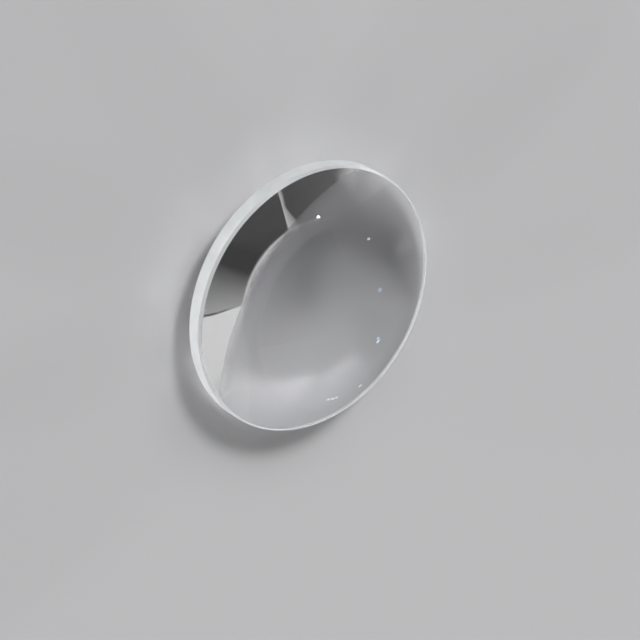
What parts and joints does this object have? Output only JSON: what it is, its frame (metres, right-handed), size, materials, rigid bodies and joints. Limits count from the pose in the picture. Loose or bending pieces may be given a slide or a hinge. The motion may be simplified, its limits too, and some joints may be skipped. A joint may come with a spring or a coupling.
{
  "type": "biconvex lens",
  "caption": "Biconvex singlet lens: a round disc of clear optical glass with polished convex faces and a bevelled, fine-ground edge.",
  "frame": {"origin": "vertex of the rear convex face, on the optical axis, which is the point the lens rests on and the centre of the bottom of its box", "axes": "+Z along the optical axis, from the rear face to the front face; X and Y are any two directions across the lens, which is round about Z"},
  "size_m": [0.0254, 0.0254, 0.006],
  "materials": {
    "optical_glass": "polished faces, fine-ground white edge and bevels"
  },
  "bodies": {
    "root": {"lens": "optical_glass"}
  },
  "joints": []
}
